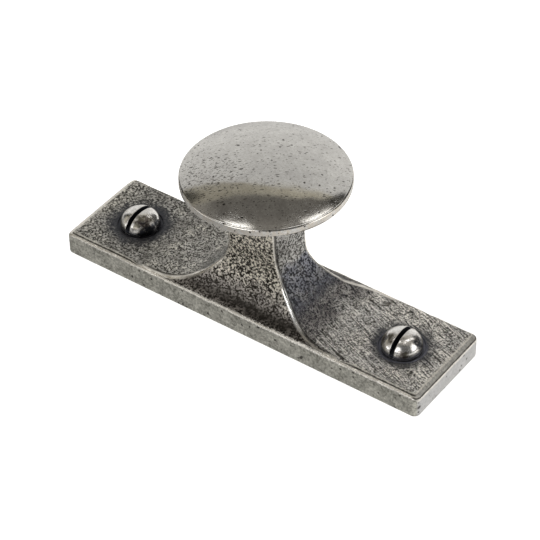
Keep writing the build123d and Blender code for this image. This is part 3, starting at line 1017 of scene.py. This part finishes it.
def screw_material():
    m = bpy.data.materials.new("worn_screw_steel")
    m.use_nodes = True
    g = Graph(m.node_tree)
    out = g.node("ShaderNodeOutputMaterial")
    bsdf = g.node("ShaderNodeBsdfPrincipled")
    p = in_mm(g)
    slot_a, lip_a, low = g.attr("in_slot"), g.attr("slot_lip"), g.attr("low")
    brown, blue = g.attr("brown"), g.attr("blue")
    blot = g.noise(p, 0.75, 3.0, 0.62)
    fine = g.noise(p, 3.0, 3.0, 0.65)
    speck = g.noise(p, 2.1, 2.0, 0.7)
    col = g.mix(g.step(blot, 0.40, 0.66), (0.80, 0.785, 0.755), (0.66, 0.64, 0.605))
    col = g.mix(g.mul(g.step(fine, 0.45, 0.72), 0.22), col, (0.18, 0.165, 0.145))
    brown_mark_colour = g.mix(g.step(blot, 0.40, 0.55), (0.050, 0.034, 0.030), (0.095, 0.086, 0.058))
    brown_mark_colour = g.mix(g.step(speck, 0.50, 0.66), brown_mark_colour, (0.30, 0.27, 0.24))
    # Brown marks: stains, and on the right head a painted reflection of the knob.
    col = g.mix(g.mul(brown, 0.92), col, brown_mark_colour)
    col = g.mix(g.mul(blue, g.step(speck, 0.68, 0.54, 0.45, 0.95)), col, (0.034, 0.037, 0.046))
    col = g.mix(g.mul(low, g.step(speck, 0.64, 0.50, 0.15, 0.85)), col, (0.06, 0.06, 0.065))
    col = g.mix(g.mul(lip_a, 0.8), col, (0.68, 0.66, 0.62))
    col = g.mix(slot_a, col, (0.045, 0.047, 0.056))
    col = g.mix(g.mul(g.attr("shank"), 0.85), col, g.mix(blot, (0.20, 0.19, 0.18), (0.34, 0.33, 0.31)))
    g.put(bsdf.inputs["Base Color"], col)
    rough = g.lerp(g.clamp(g.add(brown, blue)), g.step(blot, 0.35, 0.65, 0.17, 0.26), 0.33)
    g.put(bsdf.inputs["Roughness"], g.lerp(slot_a, rough, 0.6))
    bsdf.inputs["Metallic"].default_value = 1.0
    b = g.node("ShaderNodeBump")
    b.inputs["Strength"].default_value = 0.35
    b.inputs["Distance"].default_value = 0.00003
    g.put(b.inputs["Height"], g.add(fine, g.mul(blot, 0.6)))
    g.put(bsdf.inputs["Normal"], b.outputs[0])
    g.t.links.new(bsdf.outputs[0], out.inputs[0])
    return m


cast_m, steel_m = casting_material(), screw_material()
casting.data.materials.append(cast_m)
for ob in (screw_l, screw_r):
    ob.data.materials.append(steel_m)
# The CAD solids keep the same finishes, though their detailed pieces show.
for node, mat in (("knob_casting", cast_m), ("screw_left", steel_m), ("screw_right", steel_m)):
    o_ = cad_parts[node]
    if o_.material_slots:
        for s_ in o_.material_slots:
            s_.material = mat
    else:
        o_.data.materials.append(mat)

# -------------------------------------------------------------------- stage
me = bpy.data.meshes.new("floor")
# It is left out under the plate, and lies a hair above the plate's back face, so
# that the two never share a plane where the back is looked at from below.
w = 3.0
ux, uy, uz = 0.0370, 0.0089, 0.00002
me.from_pydata(
    [(-w, -w, uz), (w, -w, uz), (w, w, uz), (-w, w, uz),
     (-ux, -uy, uz), (ux, -uy, uz), (ux, uy, uz), (-ux, uy, uz)],
    [], [(0, 1, 5, 4), (1, 2, 6, 5), (2, 3, 7, 6), (3, 0, 4, 7)])
floor = bpy.data.objects.new("floor", me)
bpy.context.scene.collection.objects.link(floor)
fm = bpy.data.materials.new("pale_floor")
fm.use_nodes = True
g = Graph(fm.node_tree)
out = g.node("ShaderNodeOutputMaterial")
fb = g.node("ShaderNodeBsdfPrincipled")
fb.inputs["Base Color"].default_value = (0.92, 0.92, 0.92, 1)
fb.inputs["Roughness"].default_value = 0.9
fb.inputs["Specular IOR Level"].default_value = 0.0
fb.inputs["Emission Color"].default_value = (1, 1, 1, 1)
fb.inputs["Emission Strength"].default_value = 0.80
g.t.links.new(fb.outputs[0], out.inputs[0])
me.materials.append(fm)
floor.visible_glossy = False

# A soft room, described by fixed directions in it: a bright backdrop beyond the
# object, a dim ceiling over it, a pale floor, a dark room behind, and a few
# soft windows and lamps.
world = bpy.data.worlds.new("studio")
bpy.context.scene.world = world
world.use_nodes = True
g = Graph(world.node_tree)
out = g.node("ShaderNodeOutputWorld")
bg = g.node("ShaderNodeBackground")
d = g.node("ShaderNodeTexCoord").outputs["Generated"]
AZ = math.radians(36.019)
far = (-math.sin(AZ), math.cos(AZ), 0.0)
side = (math.cos(AZ), math.sin(AZ), 0.0)


def dot(v, c):
    n = g.node("ShaderNodeVectorMath", operation="DOT_PRODUCT")
    g.put(n.inputs[0], v)
    n.inputs[1].default_value = c
    return n.outputs["Value"]


fa, si, up = dot(d, far), dot(d, side), dot(d, (0, 0, 1))
DEG = 180 / math.pi
rise = g.mul(g.math("ARCTAN2", up, fa), DEG)       # 0 at the far horizon, 90 overhead
turn = g.mul(g.math("ARCTAN2", si, fa), DEG)       # 0 straight beyond, 90 to the right
tilt = g.mul(g.math("ARCSINE", up), DEG)


def patch(v, lo, hi, soft):
    return g.mul(g.step(v, lo - soft, lo + soft), g.step(v, hi - soft, hi + soft, 1.0, 0.0))


def both(a, b):
    return g.mul(a, b)


# Backdrop, fading upward, with soft side edges.
val = g.step(rise, 4.0, 58.0, 0.88, 0.68)
val = g.add(val, g.mul(g.step(si, 0.22, 0.45), 0.10))
off_mid = g.sub(si, 0.14)
bow = g.mul(off_mid, off_mid)
to_right = g.math("MAXIMUM", g.sub(si, 0.24), 0.0)
ceiling = g.step(g.add(g.add(rise, g.mul(bow, 14.0)), g.mul(to_right, 28.0)), 64.0, 66.4)
olive = g.step(g.add(rise, g.mul(bow, 35.0)), 57.6, 59.0)
val = g.lerp(olive, val, g.step(si, -0.25, 0.42, 0.39, 0.56))
val = g.lerp(ceiling, val, g.add(g.step(rise, 74.0, 92.0, 0.165, 0.34), g.step(si, -0.38, -0.47, 0.0, 0.12)))
val = g.lerp(g.mul(g.step(turn, 41.0, 43.5), g.step(rise, 66.0, 60.0)), val, 0.055)
val = g.lerp(g.mul(g.step(turn, -39.5, -42.0), g.step(rise, 57.5, 53.5)), val, g.step(turn, -50.0, -64.0, 0.045, 0.50))
behind = g.lerp(g.step(turn, -98.0, -135.0), g.step(turn, -60.0, -80.0, 0.13, 0.50), 0.13)
val = g.lerp(g.step(rise, 98.0, 116.0), val, behind)
# Lamps: two soft ones nearly overhead, one low behind each shoulder.
lamps = 0.0
for m, v in (
    (both(patch(g.add(rise, g.mul(si, 80.0)), 105.0, 114.0, 3.0), patch(si, 0.16, 0.64, 0.08)), 2.9),
    (both(patch(g.sub(rise, g.mul(si, 25.0)), 87.6, 94.6, 1.8), patch(si, -0.46, -0.13, 0.04)), 3.6),
    (both(patch(turn, -126.0, -97.0, 4.0), patch(tilt, 14.0, 44.0, 6.0)), 0.85),
    (both(patch(turn, -166.0, -130.0, 4.0), patch(tilt, 30.0, 52.0, 5.0)), 1.5),
    (both(patch(turn, -166.0, -130.0, 4.0), patch(tilt, 14.0, 30.0, 3.0)), 4.2),
    (both(patch(turn, -104.0, -88.0, 3.0), patch(tilt, -1.0, 10.0, 2.5)), 2.6),
    (both(patch(turn, 96.0, 127.0, 4.0), patch(tilt, 9.0, 27.0, 3.0)), 3.6),
    (both(patch(turn, 96.0, 120.0, 4.0), patch(tilt, 27.0, 48.0, 4.0)), 1.9),
):
    val = g.lerp(m, val, v)
    lamps = g.math("MAXIMUM", m, lamps)
# Pale floor, brighter to the right.
below = g.add(0.80, g.mul(si, 0.42))
val = g.lerp(g.step(up, 0.015, -0.03), val, below)
g.put(bg.inputs["Strength"], val)
tint = g.mix(g.mul(ceiling, g.step(rise, 120.0, 100.0)), (1.0, 0.990, 0.972), (1.0, 0.942, 0.855))
tint = g.mix(g.mul(olive, g.one_minus(ceiling)), tint, (1.0, 0.93, 0.76))
g.put(bg.inputs["Color"], g.mix(lamps, tint, (1.0, 1.0, 1.0)))
g.t.links.new(bg.outputs[0], out.inputs[0])

# ------------------------------------------------------------------- camera
AZ_D, EL_D, ROLL_D, DIST, TX, TZ, FOCAL_PX = 36.019, 41.095, -0.63, 420.849, 0.598, 7.638, 2387.844
a_, e_ = math.radians(AZ_D), math.radians(EL_D)
back = Vector((math.sin(a_) * math.cos(e_), -math.cos(a_) * math.cos(e_), math.sin(e_)))
cam_data = bpy.data.cameras.new("camera")
cam = bpy.data.objects.new("camera", cam_data)
bpy.context.scene.collection.objects.link(cam)
bpy.context.scene.camera = cam
cam_data.sensor_width = 36.0
cam_data.lens = FOCAL_PX / 540 * 36.0
cam_data.clip_start, cam_data.clip_end = 0.01, 20
cam.location = (Vector((TX, 0, TZ)) + back * DIST) / 1000
right_v = (-back).cross(Vector((0, 0, 1))).normalized()
up_v = right_v.cross(-back)
rr_ = math.radians(ROLL_D)
r2 = right_v * math.cos(rr_) + up_v * math.sin(rr_)
u2 = -right_v * math.sin(rr_) + up_v * math.cos(rr_)
cam.rotation_mode = "QUATERNION"
cam.rotation_quaternion = Matrix((r2, u2, back)).transposed().to_quaternion()

sc = bpy.context.scene
sc.view_settings.view_transform = "Standard"
sc.view_settings.look = "None"
sc.view_settings.exposure = 0.0
